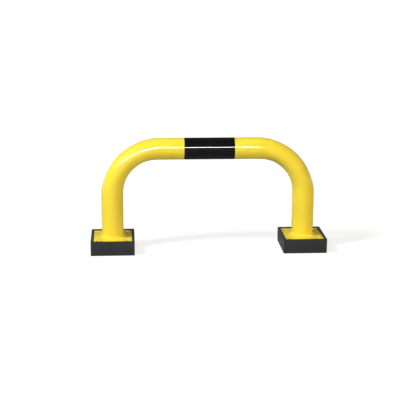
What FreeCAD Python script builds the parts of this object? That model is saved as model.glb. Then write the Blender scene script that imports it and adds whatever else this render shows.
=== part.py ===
import FreeCAD, Part
import math
import os

os.makedirs("parts", exist_ok=True)

# All sizes are in millimetres. X runs along the rail, Y from the front to the back and Z is up.
# The floor is at Z = 0 and the guard stands centred over the origin.

# Bent tube
overall_width = 750.0
tube_diameter = 76.1
tube_wall = 3.0
bend_radius = 164.0
hoop_height = 351.0
bend_flattening = 2.7
bend_bulge = 1.2
bend_ramp = 30.0
bend_steps = 9
bore_bend_steps = 6
bend_lead = 8.0

# Black film round the rail
film_length = 176.0
film_thickness = 0.3
film_clearance = 0.3
film_offset = 2.2

# Base plates
plate_width = 135.0
plate_depth = 160.0
plate_thickness = 10.0
plate_corner_radius = 3.0
plate_edge_chamfer = 0.6
fixing_hole_radius = 6.5
fixing_pitch_x = 106.0
fixing_pitch_y = 118.0

# Weld seams
weld_leg_up = 9.0
weld_leg_out = 8.5

# Resilient blocks
block_wall = 8.7
block_under_plate = 37.0
block_rim_stand = 3.2
block_corner_radius = 2.0
block_draft = 0.3
block_edge_chamfer = 0.6
plate_clearance = 0.3

# Sizes that follow from the ones above
tube_radius = tube_diameter / 2
leg_offset = overall_width / 2 - tube_radius
plate_top = block_under_plate + plate_thickness
block_height = plate_top + block_rim_stand
rail_height = plate_top + hoop_height - tube_radius
bend_start = rail_height - bend_radius
rail_half = leg_offset - bend_radius
pocket_width = plate_width + 2 * plate_clearance
pocket_depth = plate_depth + 2 * plate_clearance
block_width = pocket_width + 2 * block_wall
block_depth = pocket_depth + 2 * block_wall

ALONG = FreeCAD.Vector(1, 0, 0)
ACROSS = FreeCAD.Vector(0, 1, 0)
UP = FreeCAD.Vector(0, 0, 1)


def smooth_ramp(value):
    """Rise from 0 to 1 without a corner at either end."""
    held = min(1.0, max(0.0, value))
    return held * held * (3 - 2 * held)


def ellipse_wire(middle, outward, in_plane, across):
    """Closed section with its half axes along the outward direction and across the hoop."""
    travel = outward.cross(ACROSS)
    frame = FreeCAD.Matrix(
        outward.x * in_plane, 0, travel.x, middle.x,
        outward.y * in_plane, across, travel.y, middle.y,
        outward.z * in_plane, 0, travel.z, middle.z,
        0, 0, 0, 1,
    )
    unit_circle = Part.Edge(Part.Circle(FreeCAD.Vector(0, 0, 0), UP, 1.0))
    return Part.Wire(unit_circle.transformGeometry(frame).Edges)


def bend_section(degrees, radius):
    """Section of the right-hand bend, at an angle measured from the leg towards the rail."""
    share = smooth_ramp(degrees / bend_ramp) * smooth_ramp((90.0 - degrees) / bend_ramp)
    angle = math.radians(degrees)
    outward = ALONG * math.cos(angle) + UP * math.sin(angle)
    middle = ALONG * rail_half + UP * bend_start + outward * bend_radius
    return ellipse_wire(middle, outward, radius - bend_flattening * share, radius + bend_bulge * share)


def right_bend(radius, steps, in_straight_stretches):
    """One bend drawn through its flattened sections, with a short straight lead at both ends."""
    leg_lead = ellipse_wire(ALONG * leg_offset + UP * (bend_start - bend_lead), ALONG, radius, radius)
    arc = [bend_section(90.0 * step / steps, radius) for step in range(steps + 1)]
    rail_lead = ellipse_wire(ALONG * (rail_half - bend_lead) + UP * rail_height, UP, radius, radius)
    return Part.makeLoft([leg_lead] + arc + [rail_lead], True, in_straight_stretches, False, 3)


def hoop_solid(radius, bend):
    """Solid hoop of one radius: two legs, the bend on both sides and the rail."""
    foot = ALONG * leg_offset + UP * plate_top
    leg = Part.makeCylinder(radius, bend_start - bend_lead - plate_top, foot, UP)
    straight = rail_half - bend_lead
    rail = Part.makeCylinder(radius, 2 * straight, UP * rail_height - ALONG * straight, ALONG)
    return leg.fuse([bend, rail, mirrored(bend), mirrored(leg)])


def mirrored(shape):
    return shape.mirror(FreeCAD.Vector(0, 0, 0), ALONG)


def foot_discs(hoop):
    """The two end faces that a solid hoop stands on."""
    return [face for face in hoop.Faces if face.BoundBox.ZMax < plate_top + tube_wall]


def hoop_tube():
    """The bent tube, open at both feet. Its bore, which nothing shows, bends in straight stretches.

    Its skin is the outside, the bore turned inside out and a ring under each leg.
    """
    bore_radius = tube_radius - tube_wall
    outside = hoop_solid(tube_radius, right_bend(tube_radius, bend_steps, False))
    bore = hoop_solid(bore_radius, right_bend(bore_radius, bore_bend_steps, True))
    skin = [face for face in outside.Faces if face.BoundBox.ZMax > plate_top + tube_wall]
    skin += [face.reversed() for face in bore.Faces if face.BoundBox.ZMax > plate_top + tube_wall]
    bore_feet = Part.makeCompound(foot_discs(bore))
    for disc in foot_discs(outside):
        skin += disc.cut(bore_feet).Faces
    return Part.Solid(Part.Shell(skin))


def black_film():
    """Thin sleeve wrapped round the rail."""
    start = UP * rail_height + ALONG * (film_offset - film_length / 2)
    inside_radius = tube_radius + film_clearance
    outside = Part.makeCylinder(inside_radius + film_thickness, film_length, start, ALONG)
    return outside.cut(Part.makeCylinder(inside_radius, film_length, start, ALONG))


def upright_edges(shape):
    return [edge for edge in shape.Edges if abs(edge.tangentAt(edge.FirstParameter).z) > 0.9]


def rounded_block(width, depth, height, base, radius):
    """Upright block over the origin, with its four upright edges rounded."""
    corner = ALONG * (-width / 2) + ACROSS * (-depth / 2) + UP * base
    block = Part.makeBox(width, depth, height, corner)
    return block.makeFillet(radius, upright_edges(block))


def fixing_holes(base, height):
    """Four upright rods that cut the fixing holes."""
    rods = [
        Part.makeCylinder(fixing_hole_radius, height, ALONG * x + ACROSS * y + UP * base, UP)
        for x in (-fixing_pitch_x / 2, fixing_pitch_x / 2)
        for y in (-fixing_pitch_y / 2, fixing_pitch_y / 2)
    ]
    return Part.makeCompound(rods)


def outer_edges_at(shape, height, width):
    """Edges of the outer outline that lie at one height."""
    found = []
    for edge in shape.Edges:
        box = edge.BoundBox
        level = abs(box.ZMin - height) < 0.01 and abs(box.ZMax - height) < 0.01
        reach = max(abs(box.XMin), abs(box.XMax), abs(box.YMin), abs(box.YMax))
        if level and reach > width / 2 - 0.01:
            found.append(edge)
    return found


def base_plate():
    """Steel plate with four fixing holes and a softened upper edge."""
    plate = rounded_block(plate_width, plate_depth, plate_thickness, block_under_plate, plate_corner_radius)
    plate = plate.makeChamfer(plate_edge_chamfer, outer_edges_at(plate, plate_top, plate_width))
    return plate.cut(fixing_holes(block_under_plate, plate_thickness))


def weld_seam():
    """Fillet run all round the foot of the tube."""
    corners = [
        (tube_radius, plate_top),
        (tube_radius + weld_leg_out, plate_top),
        (tube_radius, plate_top + weld_leg_up),
        (tube_radius, plate_top),
    ]
    outline = Part.makePolygon([ALONG * out + UP * height for out, height in corners])
    return Part.Face(outline).revolve(FreeCAD.Vector(0, 0, 0), UP, 360)


def resilient_block():
    """Moulded block with draft outside, a pocket that takes the plate and four through holes."""
    wide = block_width / 2
    deep = block_depth / 2
    foot_wide = wide - block_draft
    foot_deep = deep - block_draft
    body = Part.makeWedge(
        -foot_wide, 0, -foot_deep, -deep, -wide,
        foot_wide, block_height, foot_deep, deep, wide,
    )
    body.rotate(FreeCAD.Vector(0, 0, 0), ALONG, 90)
    body = body.makeFillet(block_corner_radius, upright_edges(body))
    body = body.makeChamfer(block_edge_chamfer, outer_edges_at(body, block_height, block_width))
    pocket = rounded_block(
        pocket_width,
        pocket_depth,
        plate_thickness + block_rim_stand,
        block_under_plate,
        plate_corner_radius + plate_clearance,
    )
    return body.cut(pocket).cut(fixing_holes(0.0, block_under_plate))


def save(shape, name):
    shape.exportStep(os.path.join("parts", name + ".step"))


save(hoop_tube(), "hoop_tube")
save(black_film(), "black_film")

for side, place in (("left", -leg_offset), ("right", leg_offset)):
    move = ALONG * place
    save(base_plate().translated(move), side + "_base_plate")
    save(weld_seam().translated(move), side + "_weld_seam")
    save(resilient_block().translated(move), side + "_rubber_block")
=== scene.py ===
import math

import bmesh
import bpy
from bpy.props import FloatProperty, FloatVectorProperty, IntProperty, PointerProperty
from mathutils import Euler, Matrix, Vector


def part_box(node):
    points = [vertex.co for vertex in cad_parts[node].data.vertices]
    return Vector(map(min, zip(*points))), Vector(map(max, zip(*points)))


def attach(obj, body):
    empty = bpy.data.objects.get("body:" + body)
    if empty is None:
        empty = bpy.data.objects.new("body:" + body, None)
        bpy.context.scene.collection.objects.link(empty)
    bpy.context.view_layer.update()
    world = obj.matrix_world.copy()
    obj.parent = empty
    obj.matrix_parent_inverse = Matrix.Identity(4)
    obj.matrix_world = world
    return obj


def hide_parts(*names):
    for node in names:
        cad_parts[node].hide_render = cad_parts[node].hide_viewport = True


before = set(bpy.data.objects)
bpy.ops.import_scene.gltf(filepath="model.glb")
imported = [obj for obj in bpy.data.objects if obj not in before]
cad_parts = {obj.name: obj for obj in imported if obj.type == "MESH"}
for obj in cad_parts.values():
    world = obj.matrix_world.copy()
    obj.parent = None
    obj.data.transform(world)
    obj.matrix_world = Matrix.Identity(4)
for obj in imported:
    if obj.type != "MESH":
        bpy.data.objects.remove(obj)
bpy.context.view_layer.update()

bl_info = {
    "name": "Hoop Guard Rail",
    "version": (1, 0, 0),
    "blender": (4, 5, 0),
    "location": "View3D > Sidebar > Guard Rail",
    "description": "Dresses a bent tube guard rail with welded plates in resilient blocks",
    "category": "Object",
}

# Lengths are in metres. X runs along the rail, Y from the front to the back and the floor is at Z = 0.

MM = 0.001
FEET = ("left", "right")
MERGE_DISTANCE = 0.0005 * MM
SMALLEST_CORNER = 0.05 * MM

tube_low, tube_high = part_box("hoop_tube")
film_low, film_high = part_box("black_film")
plate_low, plate_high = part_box("right_base_plate")
seam_low, seam_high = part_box("right_weld_seam")
block_low, block_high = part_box("right_rubber_block")
plate_size = plate_high - plate_low
block_size = block_high - block_low


class TubeSettings(bpy.types.PropertyGroup):
    radius: FloatProperty(
        name="Tube radius", description="Outside radius of the tube",
        default=38.05 * MM, unit="LENGTH",
    )
    wall: FloatProperty(
        name="Wall", description="Thickness of the tube's wall",
        default=3.0 * MM, unit="LENGTH",
    )
    bend_radius: FloatProperty(
        name="Bend radius", description="Radius of the bends at the tube's centre line",
        default=164.0 * MM, unit="LENGTH",
    )
    flattening: FloatProperty(
        name="Flattening", description="How far the wall sinks in the plane of the bend",
        default=2.7 * MM, unit="LENGTH",
    )
    bulge: FloatProperty(
        name="Bulge", description="How far the wall swells across the bend",
        default=1.2 * MM, unit="LENGTH",
    )
    ramp: FloatProperty(
        name="Ramp", description="Part of the bend over which the flattening sets in",
        default=math.radians(30.0), subtype="ANGLE",
    )
    sides: IntProperty(
        name="Sides", description="Facets round the tube",
        default=144, min=24,
    )
    bend_steps: IntProperty(
        name="Bend steps", description="Stretches along one bend",
        default=72, min=8,
    )


class FilmSettings(bpy.types.PropertyGroup):
    thickness: FloatProperty(
        name="Thickness", description="Thickness of the film",
        default=0.22 * MM, unit="LENGTH",
    )
    clearance: FloatProperty(
        name="Clearance", description="Gap between the tube and the film",
        default=0.02 * MM, unit="LENGTH",
    )
    lap: FloatProperty(
        name="Lap", description="How far the film's end runs over its start",
        default=14.0 * MM, unit="LENGTH",
    )
    lap_angle: FloatProperty(
        name="Lap angle", description="Where round the rail the film's lap lies, measured from the top",
        default=math.radians(205.0), subtype="ANGLE",
    )
    colour: FloatVectorProperty(
        name="Film colour", description="Colour of the film", subtype="COLOR", size=3,
        min=0.0, max=1.0, default=(0.004, 0.004, 0.005),
    )


class SeamSettings(bpy.types.PropertyGroup):
    hollow: FloatProperty(
        name="Hollow", description="How far the face of the seam is hollowed",
        default=0.9 * MM, unit="LENGTH",
    )
    ripple_pitch: FloatProperty(
        name="Ripple pitch", description="Distance from one ripple to the next",
        default=3.2 * MM, unit="LENGTH",
    )
    ripple_height: FloatProperty(
        name="Ripple height", description="Height of the ripples under the coating",
        default=0.28 * MM, unit="LENGTH",
    )
    sides: IntProperty(
        name="Sides", description="Facets round the seam",
        default=480, min=24,
    )
    seed: FloatProperty(
        name="Seed", description="Changes how the ripples wander",
        default=4.0,
    )


class PlateSettings(bpy.types.PropertyGroup):
    corner_radius: FloatProperty(
        name="Corner radius", description="Radius of the plate's corners",
        default=3.0 * MM, unit="LENGTH",
    )
    edge_roll: FloatProperty(
        name="Edge roll", description="Radius that the coating gives the edges",
        default=0.9 * MM, unit="LENGTH",
    )
    hole_radius: FloatProperty(
        name="Hole radius", description="Radius of the fixing holes",
        default=6.5 * MM, unit="LENGTH",
    )
    hole_pitch_x: FloatProperty(
        name="Hole pitch along", description="Distance between holes along the rail",
        default=106.0 * MM, unit="LENGTH",
    )
    hole_pitch_y: FloatProperty(
        name="Hole pitch across", description="Distance between holes across the rail",
        default=118.0 * MM, unit="LENGTH",
    )


class BlockSettings(bpy.types.PropertyGroup):
    corner_radius: FloatProperty(
        name="Corner radius", description="Radius of the block's upright edges",
        default=2.0 * MM, unit="LENGTH",
    )
    wall: FloatProperty(
        name="Rim wall", description="Thickness of the rim round the plate",
        default=8.7 * MM, unit="LENGTH",
    )
    draft: FloatProperty(
        name="Draft", description="How far each side leans in at the floor",
        default=0.3 * MM, unit="LENGTH",
    )
    rim_roll: FloatProperty(
        name="Rim roll", description="Radius of the moulded edges of the rim",
        default=0.9 * MM, unit="LENGTH",
    )
    foot_roll: FloatProperty(
        name="Foot roll", description="Radius of the moulded edges at the floor",
        default=0.45 * MM, unit="LENGTH",
    )
    pocket_roll: FloatProperty(
        name="Pocket roll", description="Radius of the edges of the holes and of the foot of the pocket",
        default=0.27 * MM, unit="LENGTH",
    )
    colour: FloatVectorProperty(
        name="Block colour", description="Colour of the moulded block", subtype="COLOR", size=3,
        min=0.0, max=1.0, default=(0.026, 0.0265, 0.031),
    )


class CoatingSettings(bpy.types.PropertyGroup):
    colour: FloatVectorProperty(
        name="Coating colour", description="Colour of the powder coating", subtype="COLOR", size=3,
        min=0.0, max=1.0, default=(0.85, 0.64, 0.043),
    )
    peel: FloatProperty(
        name="Orange peel", description="Depth of the coating's fine waves",
        default=0.02 * MM, unit="LENGTH",
    )


class StageSettings(bpy.types.PropertyGroup):
    camera_place: FloatVectorProperty(
        name="Camera place", description="Where the camera stands", subtype="TRANSLATION", size=3,
        default=(-0.28782, -3.98818, 1.1317),
    )
    camera_turn: FloatProperty(
        name="Camera turn", description="How far the camera turns to the right",
        default=math.radians(4.123), subtype="ANGLE",
    )
    camera_tilt: FloatProperty(
        name="Camera tilt", description="How far the camera looks down",
        default=math.radians(13.854), subtype="ANGLE",
    )
    camera_roll: FloatProperty(
        name="Camera roll", description="How far the camera leans over",
        default=math.radians(0.369), subtype="ANGLE",
    )
    lens: FloatProperty(
        name="Lens", description="Focal length in millimetres",
        default=100.806, unit="CAMERA",
    )
    floor_colour: FloatVectorProperty(
        name="Floor colour", description="Colour of the pale floor", subtype="COLOR", size=3,
        min=0.0, max=1.0, default=(0.30, 0.30, 0.30),
    )
    floor_glow: FloatProperty(
        name="Floor glow", description="Light that the eye sees on the floor besides the lamps'",
        default=0.77, min=0.0,
    )
    sky_level: FloatProperty(
        name="Sky level", description="Light that the surroundings give",
        default=0.12, min=0.0,
    )
    ceiling_level: FloatProperty(
        name="Ceiling level", description="How bright the surroundings look overhead",
        default=0.12, min=0.0,
    )


class GuardRailSettings(bpy.types.PropertyGroup):
    tube: PointerProperty(type=TubeSettings)
    film: PointerProperty(type=FilmSettings)
    seam: PointerProperty(type=SeamSettings)
    plate: PointerProperty(type=PlateSettings)
    block: PointerProperty(type=BlockSettings)
    coating: PointerProperty(type=CoatingSettings)
    stage: PointerProperty(type=StageSettings)


def settings():
    return bpy.context.scene.guard_rail


# Frame, objects and meshes


def leg_axis(foot):
    """X of one leg's axis, read from its plate."""
    low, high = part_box(foot + "_base_plate")
    return (low.x + high.x) / 2


def new_object(name, data):
    obj = bpy.data.objects.new(name, data)
    bpy.context.scene.collection.objects.link(obj)
    return obj


def turn_outward(mesh, crease=math.radians(40.0)):
    """Merge doubles, turn the faces outward and keep edges crisp where they turn more than the crease."""
    shell = bmesh.new()
    shell.from_mesh(mesh)
    bmesh.ops.remove_doubles(shell, verts=shell.verts, dist=MERGE_DISTANCE)
    bmesh.ops.recalc_face_normals(shell, faces=shell.faces)
    shell.to_mesh(mesh)
    shell.free()
    mesh.set_sharp_from_angle(angle=crease)


def hand_over(obj, node):
    """Join the finished piece to the frame in place of its CAD node."""
    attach(obj, "root")
    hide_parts(node)


# Node trees


class Tree:
    """Short way to add and join nodes in one tree."""

    def __init__(self, tree):
        self.nodes = tree.nodes
        self.links = tree.links

    def add(self, kind, inputs=None, **values):
        """Add a node, set its own values, then set its inputs or join them to sockets."""
        node = self.nodes.new(kind)
        for name, value in values.items():
            setattr(node, name, value)
        for key, value in (inputs or {}).items():
            if isinstance(value, bpy.types.NodeSocket):
                self.links.new(value, node.inputs[key])
            else:
                node.inputs[key].default_value = value
        return node

    def math(self, operation, first, second=0.0):
        return self.add("ShaderNodeMath", {0: first, 1: second}, operation=operation).outputs[0]

    def vector(self, operation, first, second=(0.0, 0.0, 0.0)):
        return self.add("ShaderNodeVectorMath", {0: first, 1: second}, operation=operation).outputs[0]

    def parts(self, vector):
        """The x, y and z of a vector."""
        return self.add("ShaderNodeSeparateXYZ", {0: vector}).outputs

    def joined(self, x, y, z):
        """Vector from its x, y and z."""
        return self.add("ShaderNodeCombineXYZ", {0: x, 1: y, 2: z}).outputs[0]

    def remap(self, value, old, new, **values):
        """Carry a value from its old two limits to new ones, held at both ends."""
        return self.add("ShaderNodeMapRange", {
            "Value": value, "From Min": old[0], "From Max": old[1], "To Min": new[0], "To Max": new[1],
        }, **values).outputs[0]

    def noise(self, place, scale, detail, roughness=0.5):
        """Soft random value over the surface."""
        return self.add("ShaderNodeTexNoise", {
            "Vector": place, "Scale": scale, "Detail": detail, "Roughness": roughness,
        }).outputs["Fac"]

    def position(self):
        return self.add("GeometryNodeInputPosition").outputs[0]

    def attribute(self, name, kind):
        return self.add("GeometryNodeInputNamedAttribute", {"Name": name}, data_type=kind).outputs[0]


def geometry_tree(name, sockets):
    """New geometry tree with a geometry input, the named inputs given and a geometry output."""
    group = bpy.data.node_groups.new(name, "GeometryNodeTree")
    group.interface.new_socket(name="Geometry", in_out="INPUT", socket_type="NodeSocketGeometry")
    for label, kind in sockets:
        group.interface.new_socket(name=label, in_out="INPUT", socket_type=kind)
    group.interface.new_socket(name="Geometry", in_out="OUTPUT", socket_type="NodeSocketGeometry")
    tree = Tree(group)
    given = tree.add("NodeGroupInput").outputs
    return group, tree, given


def end_geometry_tree(tree, geometry, material):
    """Smooth, realize and paint the geometry, and send it out."""
    smooth = tree.add("GeometryNodeSetShadeSmooth", {"Geometry": geometry})
    real = tree.add("GeometryNodeRealizeInstances", {"Geometry": smooth.outputs[0]})
    painted = tree.add("GeometryNodeSetMaterial", {"Geometry": real.outputs[0], "Material": material})
    tree.add("NodeGroupOutput", {0: painted.outputs[0]})


def grow(obj, group, values):
    """Run a geometry tree on an object with its inputs set, and leave a plain mesh."""
    modifier = obj.modifiers.new(group.name, "NODES")
    modifier.node_group = group
    for item in group.interface.items_tree:
        if item.in_out == "INPUT" and item.name in values:
            modifier[item.identifier] = values[item.name]
    graph = bpy.context.evaluated_depsgraph_get()
    mesh = bpy.data.meshes.new_from_object(obj.evaluated_get(graph), depsgraph=graph)
    obj.modifiers.remove(modifier)
    obj.data = mesh
    mesh.name = obj.name


# Materials

# Most of a noise lies between these two values.
DRIFT_BAND = (0.3, 0.7)


def new_material(name):
    """Empty node material, with the place on the piece that its patterns read."""
    material = bpy.data.materials.new(name)
    material.use_nodes = True
    material.node_tree.nodes.clear()
    tree = Tree(material.node_tree)
    return material, tree, tree.add("ShaderNodeTexCoord").outputs["Object"]


def varied_colour(tree, place, colour, scale, spread):
    """Colour that drifts a little darker and lighter over the surface."""
    ramp = tree.add("ShaderNodeValToRGB", {"Fac": tree.noise(place, scale, detail=3.0)})
    low, high = ramp.color_ramp.elements
    low.position, high.position = DRIFT_BAND
    low.color = [channel * (1 - spread) for channel in colour] + [1.0]
    high.color = [min(1.0, channel * (1 + spread)) for channel in colour] + [1.0]
    return ramp.outputs["Color"]


def varied_value(tree, place, scale, limits):
    """Number that drifts between two limits over the surface."""
    return tree.remap(tree.noise(place, scale, detail=4.0), DRIFT_BAND, limits)


def shade(tree, base, roughness, specular, height, strength, depth):
    """End a material with a bump and one Principled shader, its uniform values on its own sockets."""
    bump = tree.add("ShaderNodeBump", {"Height": height, "Strength": strength, "Distance": depth})
    shader = tree.add("ShaderNodeBsdfPrincipled", {
        "Base Color": base,
        "Roughness": roughness,
        "Specular IOR Level": specular,
        "Normal": bump.outputs["Normal"],
    })
    tree.add("ShaderNodeOutputMaterial", {"Surface": shader.outputs[0]})


def powder_coating():
    """Glossy powder coat: fine orange peel, broad faint waves and patches of slightly duller skin."""
    chosen = settings().coating
    material, tree, place = new_material("yellow_powder_coat")
    wave_share = 0.7
    peel = tree.noise(place, scale=420.0, detail=2.0, roughness=0.45)
    waves = tree.math("MULTIPLY", tree.noise(place, scale=70.0, detail=1.0), wave_share)
    shade(
        tree,
        base=varied_colour(tree, place, chosen.colour, scale=9.0, spread=0.025),
        roughness=varied_value(tree, place, scale=35.0, limits=(0.04, 0.06)),
        specular=0.5,
        height=tree.math("ADD", peel, waves),
        strength=0.25,
        depth=chosen.peel,
    )
    return material


def film_material():
    """Glossy black film with faint stretch marks along the rail."""
    chosen = settings().film
    material, tree, place = new_material("glossy_black_film")
    drawn = tree.add("ShaderNodeMapping", {"Vector": place, "Scale": (0.15, 1.0, 1.0)})
    shade(
        tree,
        base=varied_colour(tree, place, chosen.colour, scale=22.0, spread=0.12),
        roughness=varied_value(tree, place, scale=60.0, limits=(0.06, 0.10)),
        specular=0.27,
        height=tree.noise(drawn.outputs["Vector"], scale=260.0, detail=2.0),
        strength=0.2,
        depth=0.02 * MM,
    )
    return material


def rubber_material():
    """Moulded rubber with a low sheen: fine grain, shallow clouds in its skin and a drift of tone."""
    chosen = settings().block
    material, tree, place = new_material("black_moulded_rubber")
    cloud_share = 1.5
    grain = tree.noise(place, scale=1400.0, detail=3.0)
    clouds = tree.math("MULTIPLY", tree.noise(place, scale=90.0, detail=2.0), cloud_share)
    shade(
        tree,
        base=varied_colour(tree, place, chosen.colour, scale=16.0, spread=0.16),
        roughness=varied_value(tree, place, scale=24.0, limits=(0.28, 0.40)),
        specular=0.45,
        height=tree.math("ADD", grain, clouds),
        strength=0.5,
        depth=0.06 * MM,
    )
    return material


def shared(name, make):
    """The material of that name, made on first use."""
    return bpy.data.materials.get(name) or make()


# Bent tube


def smooth_ramp(value):
    """Rise from 0 to 1 without a corner at either end."""
    held = min(1.0, max(0.0, value))
    return held * held * (3 - 2 * held)


def tube_tree():
    """Tree that sweeps the outside and the bore along the centre line and flattens them in the bends."""
    group, tree, given = geometry_tree("bent_tube", [
        ("Tube Radius", "NodeSocketFloat"),
        ("Bore Radius", "NodeSocketFloat"),
        ("Flattening", "NodeSocketFloat"),
        ("Bulge", "NodeSocketFloat"),
        ("Sides", "NodeSocketInt"),
        ("Coating", "NodeSocketMaterial"),
    ])
    centre_kept = tree.add("GeometryNodeStoreNamedAttribute", {
        "Geometry": given["Geometry"], "Name": "centre", "Value": tree.position(),
    }, data_type="FLOAT_VECTOR", domain="POINT")
    path = tree.add("GeometryNodeMeshToCurve", {"Mesh": centre_kept.outputs[0]})
    walls = []
    for radius in ("Tube Radius", "Bore Radius"):
        circle = tree.add("GeometryNodeCurvePrimitiveCircle", {
            "Resolution": given["Sides"], "Radius": given[radius],
        })
        wall = tree.add("GeometryNodeCurveToMesh", {
            "Curve": path.outputs[0], "Profile Curve": circle.outputs[0],
        })
        walls.append(wall.outputs[0])
    outside, inside = walls
    bore = tree.add("GeometryNodeFlipFaces", {"Mesh": inside})
    swept = tree.add("GeometryNodeJoinGeometry", {0: outside})
    tree.links.new(bore.outputs[0], swept.inputs[0])
    centre = tree.attribute("centre", "FLOAT_VECTOR")
    share = tree.attribute("share", "FLOAT")
    sunk = tree.math("DIVIDE", tree.math("MULTIPLY", given["Flattening"], share), given["Tube Radius"])
    swollen = tree.math("DIVIDE", tree.math("MULTIPLY", given["Bulge"], share), given["Tube Radius"])
    in_plane = tree.math("SUBTRACT", 1.0, sunk)
    across = tree.math("ADD", 1.0, swollen)
    spoke = tree.vector("SUBTRACT", tree.position(), centre)
    oval = tree.vector("MULTIPLY", spoke, tree.joined(in_plane, across, in_plane))
    placed = tree.vector("ADD", centre, oval)
    shaped = tree.add("GeometryNodeSetPosition", {"Geometry": swept.outputs[0], "Position": placed})
    end_geometry_tree(tree, shaped.outputs[0], given["Coating"])
    return group


def centre_line(tube):
    """Centre line of half the hoop, foot to rail, as places with their share of the flattening."""
    leg = leg_axis("right")
    rail_height = tube_high.z - tube.radius
    bend_middle = Vector((leg - tube.bend_radius, 0, rail_height - tube.bend_radius))
    line = [(Vector((leg, 0, tube_low.z)), 0.0)]
    for step in range(tube.bend_steps + 1):
        angle = math.pi / 2 * step / tube.bend_steps
        share = smooth_ramp(angle / tube.ramp) * smooth_ramp((math.pi / 2 - angle) / tube.ramp)
        outward = Vector((math.cos(angle), 0, math.sin(angle)))
        line.append((bend_middle + outward * tube.bend_radius, share))
    return line


def centre_line_mesh(name, tube):
    """The whole centre line as a row of edges, each point with its share of the flattening."""
    half = centre_line(tube)
    line = half + [(Vector((-place.x, 0, place.z)), share) for place, share in reversed(half)]
    mesh = bpy.data.meshes.new(name)
    edges = [(at, at + 1) for at in range(len(line) - 1)]
    mesh.from_pydata([place for place, share in line], edges, [])
    shares = mesh.attributes.new("share", "FLOAT", "POINT")
    shares.data.foreach_set("value", [share for place, share in line])
    return mesh


def close_feet(mesh):
    """Join the outside to the bore with a flat ring under each leg."""
    shell = bmesh.new()
    shell.from_mesh(mesh)
    ends = [edge for edge in shell.edges if edge.is_boundary]
    for side in (-1, 1):
        bmesh.ops.bridge_loops(shell, edges=[edge for edge in ends if edge.verts[0].co.x * side > 0])
    shell.to_mesh(mesh)
    shell.free()


def build_tube():
    tube = settings().tube
    obj = new_object("bent_tube", centre_line_mesh("bent_tube_line", tube))
    grow(obj, tube_tree(), {
        "Tube Radius": tube.radius,
        "Bore Radius": tube.radius - tube.wall,
        "Flattening": tube.flattening,
        "Bulge": tube.bulge,
        "Sides": tube.sides,
        "Coating": shared("yellow_powder_coat", powder_coating),
    })
    close_feet(obj.data)
    turn_outward(obj.data)
    hand_over(obj, "hoop_tube")


# Black film


def film_tree():
    """Tree that wraps a thin flat strip round the rail, with its end lapped over its start."""
    group, tree, given = geometry_tree("wrapped_film", [
        ("Length", "NodeSocketFloat"),
        ("Inside Radius", "NodeSocketFloat"),
        ("Thickness", "NodeSocketFloat"),
        ("Lap", "NodeSocketFloat"),
        ("Lap Angle", "NodeSocketFloat"),
        ("Middle", "NodeSocketVector"),
        ("Film", "NodeSocketMaterial"),
    ])
    # The lapped end rises by this many thicknesses of the film.
    lap_lift = 1.15
    girth = tree.math("MULTIPLY", given["Inside Radius"], 2 * math.pi)
    reach = tree.math("ADD", girth, given["Lap"])
    strip = tree.add("GeometryNodeMeshCube", {
        "Size": tree.joined(given["Length"], reach, given["Thickness"]),
        "Vertices X": 9, "Vertices Y": 260, "Vertices Z": 2,
    })
    along, round_rail, through = tree.parts(tree.position())
    run = tree.math("ADD", round_rail, tree.math("MULTIPLY", reach, 0.5))
    angle = tree.math("ADD", tree.math("DIVIDE", run, given["Inside Radius"]), given["Lap Angle"])
    lap_start = tree.math("SUBTRACT", girth, given["Lap"])
    lapped = tree.remap(
        run, (lap_start, girth), (0.0, tree.math("MULTIPLY", given["Thickness"], lap_lift)),
        interpolation_type="SMOOTHSTEP",
    )
    raised = tree.math("ADD", through, tree.math("MULTIPLY", given["Thickness"], 0.5))
    radius = tree.math("ADD", tree.math("ADD", given["Inside Radius"], raised), lapped)
    across = tree.math("MULTIPLY", radius, tree.math("SINE", angle))
    up = tree.math("MULTIPLY", radius, tree.math("COSINE", angle))
    placed = tree.vector("ADD", tree.joined(along, across, up), given["Middle"])
    shaped = tree.add("GeometryNodeSetPosition", {"Geometry": strip.outputs[0], "Position": placed})
    end_geometry_tree(tree, shaped.outputs[0], given["Film"])
    return group


def build_film():
    film = settings().film
    obj = new_object("wrapped_film", bpy.data.meshes.new("film_start"))
    grow(obj, film_tree(), {
        "Length": film_high.x - film_low.x,
        "Inside Radius": settings().tube.radius + film.clearance,
        "Thickness": film.thickness,
        "Lap": film.lap,
        "Lap Angle": film.lap_angle,
        "Middle": (film_low + film_high) / 2,
        "Film": shared("glossy_black_film", film_material),
    })
    turn_outward(obj.data)
    hand_over(obj, "black_film")


# Weld seams


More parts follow.
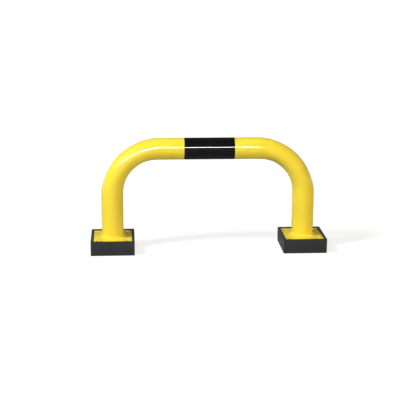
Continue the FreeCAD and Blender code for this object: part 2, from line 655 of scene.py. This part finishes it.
def seam_tree():
    """Tree that raises the ripples of the weld along the face of the seam.

    Each ripple leans back like a crescent as it climbs the leg, and wanders a little.
    """
    group, tree, given = geometry_tree("weld_ripples", [
        ("Ring Radius", "NodeSocketFloat"),
        ("Ripple Pitch", "NodeSocketFloat"),
        ("Ripple Height", "NodeSocketFloat"),
        ("Middle", "NodeSocketVector"),
        ("Seed", "NodeSocketFloat"),
        ("Coating", "NodeSocketMaterial"),
    ])
    # The shares are parts of one ripple, and the lean reaches its share at the lean height.
    lean_height = 5.0 * MM
    lean_share = 0.35
    wander_share = 0.8
    place = tree.position()
    out_x, out_y, up = tree.parts(tree.vector("SUBTRACT", place, given["Middle"]))
    turns = tree.math("DIVIDE", tree.math("ARCTAN2", out_y, out_x), 2 * math.pi)
    girth = tree.math("MULTIPLY", given["Ring Radius"], 2 * math.pi)
    count = tree.math("ROUND", tree.math("DIVIDE", girth, given["Ripple Pitch"]))
    climb = tree.math("POWER", tree.math("DIVIDE", up, lean_height), 2.0)
    lean = tree.math("MULTIPLY", climb, lean_share)
    noise = tree.add("ShaderNodeTexNoise", {
        "Vector": place, "W": given["Seed"], "Scale": 60.0,
    }, noise_dimensions="4D")
    wander = tree.math("MULTIPLY", noise.outputs["Fac"], wander_share)
    ripples = tree.math("ADD", tree.math("ADD", tree.math("MULTIPLY", turns, count), lean), wander)
    wave = tree.math("ABSOLUTE", tree.math("SINE", tree.math("MULTIPLY", ripples, math.pi)))
    on_face = tree.attribute("face_share", "FLOAT")
    height = tree.math("MULTIPLY", tree.math("MULTIPLY", wave, given["Ripple Height"]), on_face)
    normal = tree.add("GeometryNodeInputNormal").outputs[0]
    offset = tree.add("ShaderNodeVectorMath", {0: normal, "Scale": height}, operation="SCALE").outputs[0]
    shaped = tree.add("GeometryNodeSetPosition", {"Geometry": given["Geometry"], "Offset": offset})
    end_geometry_tree(tree, shaped.outputs[0], given["Coating"])
    return group


def seam_profile(seam):
    """Closed section of the seam as (out, up, share of the ripples) from the tube's foot."""
    out_leg = (seam_high.x - seam_low.x) / 2 - settings().tube.radius
    up_leg = seam_high.z - seam_low.z
    slope = Vector((up_leg, out_leg)).normalized()
    steps = 18
    section = [(0.0, 0.0, 0.0)]
    for step in range(steps + 1):
        share = math.sin(math.pi * step / steps)
        sink = (seam.hollow + seam.ripple_height / 2) * share
        out = out_leg * (1 - step / steps) - slope.x * sink
        up = up_leg * step / steps - slope.y * sink
        section.append((out, up, share))
    return section


def seam_ring(name, middle, section, turns):
    """Ring mesh made by turning the section round the leg's axis."""
    places = []
    shares = []
    for turn in range(turns):
        angle = 2 * math.pi * turn / turns
        outward = Vector((math.cos(angle), math.sin(angle), 0))
        for out, up, share in section:
            places.append(middle + outward * (settings().tube.radius + out) + Vector((0, 0, up)))
            shares.append(share)
    width = len(section)
    faces = []
    for turn in range(turns):
        here = turn * width
        there = (turn + 1) % turns * width
        for at in range(width):
            after = (at + 1) % width
            faces.append((here + at, there + at, there + after, here + after))
    mesh = bpy.data.meshes.new(name)
    mesh.from_pydata(places, [], faces)
    face_share = mesh.attributes.new("face_share", "FLOAT", "POINT")
    face_share.data.foreach_set("value", shares)
    return mesh


def build_seams():
    seam = settings().seam
    tree = seam_tree()
    seam_radius = (seam_high.x - seam_low.x) / 2
    for foot in FEET:
        middle = Vector((leg_axis(foot), 0, seam_low.z))
        mesh = seam_ring(foot + "_weld", middle, seam_profile(seam), seam.sides)
        turn_outward(mesh)
        obj = new_object(foot + "_weld", mesh)
        grow(obj, tree, {
            "Ring Radius": (settings().tube.radius + seam_radius) / 2,
            "Ripple Pitch": seam.ripple_pitch,
            "Ripple Height": seam.ripple_height,
            "Middle": middle,
            "Seed": seam.seed + leg_axis(foot),
            "Coating": shared("yellow_powder_coat", powder_coating),
        })
        hand_over(obj, foot + "_weld_seam")


# Plates and blocks


def rectangle_loop(half_width, half_depth, radius, height):
    """Places round an upright rectangle with rounded corners."""
    radius = max(radius, SMALLEST_CORNER)
    corner_steps = 8
    loop = []
    for quarter, (side_x, side_y) in enumerate(((1, 1), (-1, 1), (-1, -1), (1, -1))):
        centre = Vector((side_x * (half_width - radius), side_y * (half_depth - radius), height))
        for step in range(corner_steps + 1):
            angle = math.pi / 2 * (quarter + step / corner_steps)
            loop.append(centre + Vector((math.cos(angle), math.sin(angle), 0)) * radius)
    return loop


def hole_loop(centre, radius, height):
    """Places round a fixing hole."""
    steps = 48
    turns = [2 * math.pi * step / steps for step in range(steps)]
    return [
        Vector((centre.x + radius * math.cos(turn), centre.y + radius * math.sin(turn), height))
        for turn in turns
    ]


def hole_centres():
    plate = settings().plate
    return [
        Vector((side_x * plate.hole_pitch_x / 2, side_y * plate.hole_pitch_y / 2, 0))
        for side_x in (-1, 1) for side_y in (-1, 1)
    ]


def quarter_roll(radius):
    """Rounded edge as (distance in from the side, distance in from the face), face first."""
    steps = 5
    turns = [math.pi / 2 * step / steps for step in range(steps + 1)]
    return [(radius * (1 - math.sin(turn)), radius * (1 - math.cos(turn))) for turn in turns]


def rolled_edge(half_width, half_depth, corner, face, roll, rise, side=1):
    """Loops over a rounded edge, from its flat face to its side.

    The piece goes up from the face where rise is 1, and down where it is -1. Side is -1 round a pocket.
    """
    return [
        rectangle_loop(
            half_width - side * inward,
            half_depth - side * inward,
            corner - side * inward,
            face + rise * deep,
        )
        for inward, deep in quarter_roll(roll)
    ]


def skin_loops(shell, loops):
    """Skin a row of equal loops with quads, and return the first and last loop's edges."""
    rows = [[shell.verts.new(place) for place in loop] for loop in loops]
    for lower, upper in zip(rows, rows[1:]):
        for at in range(len(lower)):
            after = (at + 1) % len(lower)
            shell.faces.new((lower[at], lower[after], upper[after], upper[at]))
    return [
        [shell.edges.get((row[at], row[(at + 1) % len(row)])) for at in range(len(row))]
        for row in (rows[0], rows[-1])
    ]


def hole_rows(centre, radius, low, high, roll):
    """Loops down a fixing hole, with both mouths rounded."""
    top = [hole_loop(centre, radius + inward, high - down) for inward, down in quarter_roll(roll)]
    bottom = [hole_loop(centre, radius + inward, low + up) for inward, up in reversed(quarter_roll(roll))]
    return top + bottom


def close_with_holes(shell, outer_loops, roll, low, high):
    """Skin the outside, drill the fixing holes and fill the two faces between them."""
    face_edges = skin_loops(shell, outer_loops)
    for centre in hole_centres():
        mouths = skin_loops(shell, hole_rows(centre, settings().plate.hole_radius, low, high, roll))
        face_edges[1] += mouths[0]
        face_edges[0] += mouths[1]
    for edges in face_edges:
        bmesh.ops.triangle_fill(shell, edges=edges, use_beauty=True, use_dissolve=False)


def solid_from(shell, name, move, material):
    """Object from a shell built round the leg's axis, moved into place in its mesh."""
    bmesh.ops.translate(shell, verts=shell.verts, vec=move)
    mesh = bpy.data.meshes.new(name)
    shell.to_mesh(mesh)
    shell.free()
    mesh.shade_smooth()
    turn_outward(mesh, crease=math.radians(30.0))
    mesh.materials.append(material)
    return new_object(name, mesh)


def plate_loops(plate):
    """Loops up the outside of the plate, from its lower face to its upper face."""
    wide = plate_size.x / 2
    deep = plate_size.y / 2
    bottom = rolled_edge(wide, deep, plate.corner_radius, plate_low.z, plate.edge_roll, rise=1)
    top = rolled_edge(wide, deep, plate.corner_radius, plate_high.z, plate.edge_roll, rise=-1)
    return bottom + top[::-1]


def build_plates():
    plate = settings().plate
    for foot in FEET:
        shell = bmesh.new()
        close_with_holes(shell, plate_loops(plate), plate.edge_roll, plate_low.z, plate_high.z)
        move = Vector((leg_axis(foot), 0, 0))
        obj = solid_from(shell, foot + "_plate", move, shared("yellow_powder_coat", powder_coating))
        hand_over(obj, foot + "_base_plate")


def block_loops(block):
    """Loops up the outside of the block, over its rim and down into the pocket."""
    wide = block_size.x / 2
    deep = block_size.y / 2
    pocket_wide = wide - block.wall
    pocket_deep = deep - block.wall
    corner = block.corner_radius
    rim = block_high.z
    foot = rolled_edge(
        wide - block.draft, deep - block.draft, corner, block_low.z, block.foot_roll, rise=1
    )
    outer_rim = rolled_edge(wide, deep, corner, rim, block.rim_roll, rise=-1)
    inner_rim = rolled_edge(pocket_wide, pocket_deep, corner, rim, block.rim_roll, rise=-1, side=-1)
    pocket = rolled_edge(pocket_wide, pocket_deep, corner, plate_low.z, block.pocket_roll, rise=1)
    return foot + outer_rim[::-1] + inner_rim + pocket[::-1]


def build_blocks():
    block = settings().block
    for foot in FEET:
        shell = bmesh.new()
        close_with_holes(shell, block_loops(block), block.pocket_roll, block_low.z, plate_low.z)
        move = Vector((leg_axis(foot), 0, 0))
        obj = solid_from(shell, foot + "_block", move, shared("black_moulded_rubber", rubber_material))
        hand_over(obj, foot + "_rubber_block")


# Stage

WHITE = (1.0, 1.0, 1.0)
LAMP_TARGET = Vector((0.0, 0.0, 0.2))

# The floor turns plain white to the eye between these distances from the guard.
WHITE_ZONE = (0.9, 3.0)

# Reflections show the floor turn white between these distances behind the guard.
MIRRORED_ZONE = (1.0, 4.0)

# The surroundings turn dim between these heights of the view, where 0 is level and 1 is overhead.
HORIZON_BAND = (0.02, 0.12)


def floor_material():
    """Pale floor that keeps the shadows, reads white to the eye and runs into a plain white distance."""
    chosen = settings().stage
    material, tree, place = new_material("pale_floor")
    distance = tree.add("ShaderNodeVectorMath", {0: place}, operation="LENGTH").outputs["Value"]
    path = tree.add("ShaderNodeLightPath").outputs
    far = tree.remap(distance, WHITE_ZONE, (chosen.floor_glow, 1.0))
    behind = tree.remap(tree.parts(place)[1], MIRRORED_ZONE, (0.0, 1.0))
    mirrored = tree.math("MAXIMUM", path["Is Glossy Ray"], path["Is Transmission Ray"])
    seen = tree.math("MULTIPLY", far, path["Is Camera Ray"])
    level = tree.math("MAXIMUM", seen, tree.math("MULTIPLY", behind, mirrored))
    paint = tree.add("ShaderNodeBsdfPrincipled", {
        "Base Color": (*chosen.floor_colour, 1.0), "Roughness": 0.8, "Specular IOR Level": 0.1,
    })
    glow = tree.add("ShaderNodeEmission", {"Strength": level})
    both = tree.add("ShaderNodeAddShader", {0: paint.outputs[0], 1: glow.outputs[0]})
    tree.add("ShaderNodeOutputMaterial", {"Surface": both.outputs[0]})
    return material


def build_floor():
    half = 40.0
    corners = [(-half, -half, 0), (half, -half, 0), (half, half, 0), (-half, half, 0)]
    mesh = bpy.data.meshes.new("floor")
    mesh.from_pydata(corners, [], [(0, 1, 2, 3)])
    mesh.materials.append(floor_material())
    new_object("floor", mesh)


def build_camera():
    chosen = settings().stage
    camera = bpy.data.cameras.new("camera")
    camera.lens = chosen.lens
    camera.sensor_width = 36.0
    camera.clip_end = 100.0
    obj = new_object("camera", camera)
    obj.location = chosen.camera_place
    tilt = Euler((math.pi / 2 - chosen.camera_tilt, 0, -chosen.camera_turn)).to_matrix()
    roll = Euler((0, 0, chosen.camera_roll)).to_matrix()
    obj.rotation_euler = (tilt @ roll).to_euler()
    bpy.context.scene.camera = obj


def build_world():
    """Surroundings that look white at the horizon and dim overhead, and give an even light."""
    chosen = settings().stage
    world = bpy.data.worlds.new("studio")
    world.use_nodes = True
    world.node_tree.nodes.clear()
    tree = Tree(world.node_tree)
    towards = tree.parts(tree.add("ShaderNodeTexCoord").outputs["Generated"])
    backdrop = tree.remap(
        towards[2], HORIZON_BAND, (1.0, chosen.ceiling_level), interpolation_type="SMOOTHSTEP"
    )
    path = tree.add("ShaderNodeLightPath").outputs
    mirrored = tree.math("ADD", path["Is Glossy Ray"], path["Is Transmission Ray"])
    seen = tree.math("MINIMUM", tree.math("ADD", path["Is Camera Ray"], mirrored), 1.0)
    level = tree.remap(seen, (0.0, 1.0), (chosen.sky_level, backdrop))
    sky = tree.add("ShaderNodeBackground", {"Color": (*WHITE, 1.0), "Strength": level})
    tree.add("ShaderNodeOutputWorld", {"Surface": sky.outputs[0]})
    bpy.context.scene.world = world


def add_softbox(name, place, size, power, colour=WHITE):
    """Rectangular lamp, its size given across and up, that looks at the guard."""
    lamp = bpy.data.lights.new(name, "AREA")
    lamp.shape = "RECTANGLE"
    lamp.size, lamp.size_y = size
    lamp.energy = power
    lamp.color = colour
    obj = new_object(name, lamp)
    obj.location = place
    obj.rotation_euler = (LAMP_TARGET - Vector(place)).to_track_quat("-Z", "Y").to_euler()
    return obj


def build_lamps():
    """Softboxes that light the surfaces, and strips that only draw the thin highlights on the tube."""
    cool = (0.95, 1.0, 0.97)
    fresh = (0.97, 1.0, 0.95)
    warm = (1.0, 0.84, 0.66)
    glossy_pieces = bpy.data.collections.new("glossy_pieces")
    for name in ("bent_tube", "wrapped_film", "left_weld", "right_weld"):
        glossy_pieces.objects.link(bpy.data.objects[name])
    for softbox in (
        add_softbox("key_softbox", (-3.23, -1.67, 3.77), size=(0.7, 1.2), power=262.0, colour=cool),
        add_softbox("front_fill", (-0.6, -4.0, 1.3), size=(1.6, 1.2), power=56.0, colour=fresh),
        add_softbox("back_fill", (0.8, 4.0, 1.6), size=(2.0, 1.2), power=45.0),
        add_softbox("side_fill", (3.0, -2.5, 0.9), size=(2.0, 1.0), power=66.0, colour=warm),
    ):
        softbox.visible_glossy = False
    for strip in (
        add_softbox("front_strip", (-0.05, -4.0, 1.92), size=(1.5, 0.16), power=155.0),
        add_softbox("left_strip", (-2.05, -4.4, 2.0), size=(2.8, 0.04), power=160.0),
        add_softbox("tall_strip", (-3.7, -1.6, 3.1), size=(0.04, 2.4), power=230.0),
    ):
        strip.visible_diffuse = False
        strip.light_linking.receiver_collection = glossy_pieces


# Operators and panel


class GUARDRAIL_OT_tube(bpy.types.Operator):
    """Build the bent tube with its flattened bends"""

    bl_idname = "guard_rail.tube"
    bl_label = "Bent Tube"

    def execute(self, context):
        build_tube()
        return {"FINISHED"}


class GUARDRAIL_OT_film(bpy.types.Operator):
    """Wrap the black film round the rail"""

    bl_idname = "guard_rail.film"
    bl_label = "Black Film"

    def execute(self, context):
        build_film()
        return {"FINISHED"}


class GUARDRAIL_OT_seams(bpy.types.Operator):
    """Run the rippled weld seams round both legs"""

    bl_idname = "guard_rail.seams"
    bl_label = "Weld Seams"

    def execute(self, context):
        build_seams()
        return {"FINISHED"}


class GUARDRAIL_OT_plates(bpy.types.Operator):
    """Build both base plates with their fixing holes"""

    bl_idname = "guard_rail.plates"
    bl_label = "Base Plates"

    def execute(self, context):
        build_plates()
        return {"FINISHED"}


class GUARDRAIL_OT_blocks(bpy.types.Operator):
    """Build both moulded blocks with their pockets"""

    bl_idname = "guard_rail.blocks"
    bl_label = "Rubber Blocks"

    def execute(self, context):
        build_blocks()
        return {"FINISHED"}


class GUARDRAIL_OT_stage(bpy.types.Operator):
    """Set up the floor, the camera, the world and the lamps"""

    bl_idname = "guard_rail.stage"
    bl_label = "Stage"

    def execute(self, context):
        context.scene.view_settings.view_transform = "Standard"
        build_floor()
        build_camera()
        build_world()
        build_lamps()
        return {"FINISHED"}


class GUARDRAIL_PT_panel(bpy.types.Panel):
    """Guard rail pieces and stage"""

    bl_idname = "GUARDRAIL_PT_panel"
    bl_label = "Guard Rail"
    bl_space_type = "VIEW_3D"
    bl_region_type = "UI"
    bl_category = "Guard Rail"

    def draw(self, context):
        for operator in OPERATORS:
            self.layout.operator(operator.bl_idname)


OPERATORS = (
    GUARDRAIL_OT_tube,
    GUARDRAIL_OT_film,
    GUARDRAIL_OT_seams,
    GUARDRAIL_OT_plates,
    GUARDRAIL_OT_blocks,
    GUARDRAIL_OT_stage,
)
CLASSES = (
    TubeSettings,
    FilmSettings,
    SeamSettings,
    PlateSettings,
    BlockSettings,
    CoatingSettings,
    StageSettings,
    GuardRailSettings,
    *OPERATORS,
    GUARDRAIL_PT_panel,
)


def register():
    for item in CLASSES:
        bpy.utils.register_class(item)
    bpy.types.Scene.guard_rail = PointerProperty(type=GuardRailSettings)


def unregister():
    del bpy.types.Scene.guard_rail
    for item in reversed(CLASSES):
        bpy.utils.unregister_class(item)


def main():
    register()
    bpy.ops.guard_rail.tube()
    bpy.ops.guard_rail.film()
    bpy.ops.guard_rail.seams()
    bpy.ops.guard_rail.plates()
    bpy.ops.guard_rail.blocks()
    bpy.ops.guard_rail.stage()


if __name__ == "__main__":
    main()
